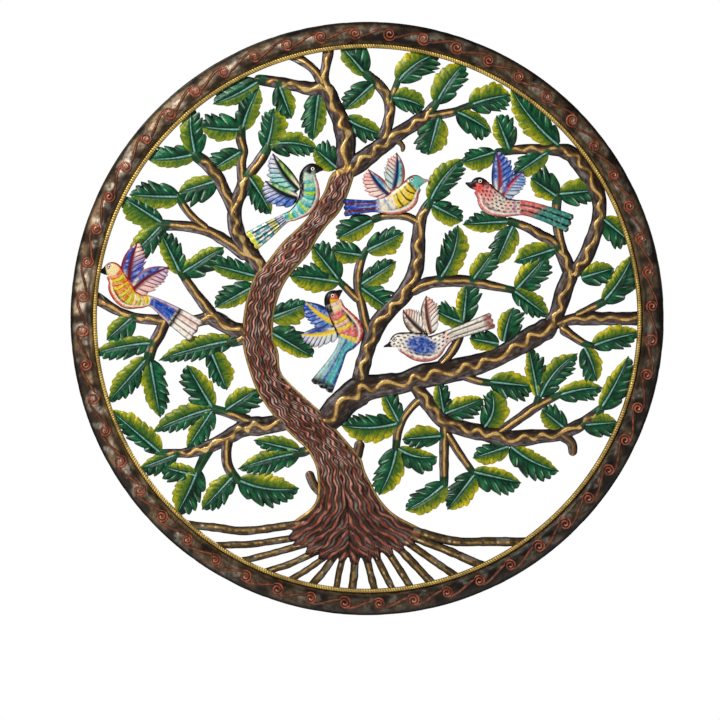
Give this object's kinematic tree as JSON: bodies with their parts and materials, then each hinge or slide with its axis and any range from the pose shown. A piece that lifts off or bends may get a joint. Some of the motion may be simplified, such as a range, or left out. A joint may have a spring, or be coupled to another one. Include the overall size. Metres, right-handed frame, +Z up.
{
  "type": "wall panel",
  "caption": "Round painted steel wall panel: a tree of life with leafy boughs, spreading roots and perched birds, cut and chased inside a domed ring.",
  "frame": {"origin": "middle of the panel's bounding box: the ring's centre, half way through the panel's depth", "axes": "+X to the right as one faces the panel, +Z up, +Y into the wall; the front faces -Y"},
  "size_m": [0.864, 0.0138, 0.864],
  "materials": {
    "ring_paint": "dark bronze, hammered, satin",
    "gold_paint": "old gold, chiselled, satin",
    "bark_paint": "dark brown with copper ridges, satin",
    "leaf_paint": "greens over dark steel, satin",
    "zinc_wire": "plain zinc-plated wire and strip",
    "bird_left_top_paint": "bright hand paint, satin",
    "bird_centre_top_paint": "bright hand paint, satin",
    "bird_right_top_paint": "bright hand paint, satin",
    "bird_left_low_paint": "bright hand paint, satin",
    "bird_centre_low_paint": "bright hand paint, satin",
    "bird_right_low_paint": "bright hand paint, satin"
  },
  "bodies": {
    "panel": {"ring_band": "ring_paint", "rope_bead": "gold_paint", "trunk_and_roots": "bark_paint", "bough_right_main": "leaf_paint", "bough_centre": "leaf_paint", "bough_right_high": "leaf_paint", "bough_right_arm": "leaf_paint", "bough_right_low": "leaf_paint", "bough_right_mid": "leaf_paint", "bough_inner": "leaf_paint", "bough_stem_low": "leaf_paint", "bough_crown_right": "leaf_paint", "bough_crown_left": "leaf_paint", "bough_left_high": "leaf_paint", "bough_left_mid": "leaf_paint", "bough_left_low": "leaf_paint", "leaf_pair_left": "leaf_paint", "leaf_pair_right": "leaf_paint", "leaf_pair_low": "leaf_paint", "leaf_crown": "leaf_paint", "bird_left_top": "bird_left_top_paint", "bird_centre_top": "bird_centre_top_paint", "bird_right_top": "bird_right_top_paint", "bird_left_low": "bird_left_low_paint", "bird_centre_low": "bird_centre_low_paint", "bird_right_low": "bird_right_low_paint", "hanger_strap_left": "zinc_wire", "hanger_strap_right": "zinc_wire"},
    "hanger_left": {"hanger_ring_left": "zinc_wire"},
    "hanger_right": {"hanger_ring_right": "zinc_wire"}
  },
  "joints": [
    {"name": "hanger_left_swing", "type": "hinge", "parent": "panel", "child": "hanger_left", "pos_m": [-0.14074, 0.00065, 0.38668], "axis": [-1, 0, 0], "range_deg": [0, 120]},
    {"name": "hanger_right_swing", "type": "hinge", "parent": "panel", "child": "hanger_right", "pos_m": [0.14074, 0.00065, 0.38668], "axis": [-1, 0, 0], "range_deg": [0, 120]}
  ]
}
